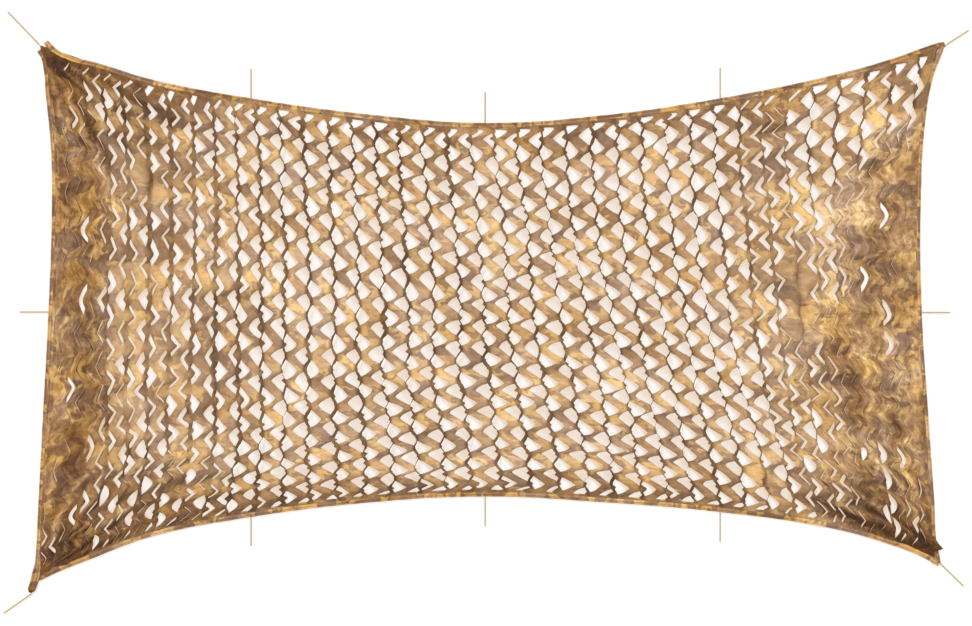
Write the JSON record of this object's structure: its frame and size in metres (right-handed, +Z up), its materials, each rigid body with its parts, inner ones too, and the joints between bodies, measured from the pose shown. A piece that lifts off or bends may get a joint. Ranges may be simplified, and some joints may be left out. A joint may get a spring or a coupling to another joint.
{
  "type": "camouflage netting",
  "caption": "Rectangular leaf-cut camouflage netting in desert colours, stretched wide with concave sides, a sewn edge binding and short rope ties along its rim.",
  "frame": {"origin": "middle of the netting's rectangle, on the surface that it lies on", "axes": "+X along the long side, +Y along the short side towards the top edge, +Z up, out of the netting's face"},
  "size_m": [4.2853, 2.6726, 0.0322],
  "materials": {
    "net_cloth": "matt coated Oxford weave printed in a desert camouflage of sand, tan and brown",
    "binding": "the same printed cloth, folded over the rim and sewn through",
    "rope": "tan twisted cord with bare cut ends"
  },
  "bodies": {
    "root": {"net": "net_cloth", "binding_top": "binding", "binding_bottom": "binding", "binding_left": "binding", "binding_right": "binding", "tie_corner_top_left": "rope", "tie_corner_top_right": "rope", "tie_corner_bottom_left": "rope", "tie_corner_bottom_right": "rope", "tie_top_left": "rope", "tie_top_middle": "rope", "tie_top_right": "rope", "tie_bottom_left": "rope", "tie_bottom_middle": "rope", "tie_bottom_right": "rope", "tie_left": "rope", "tie_right": "rope"}
  },
  "joints": []
}
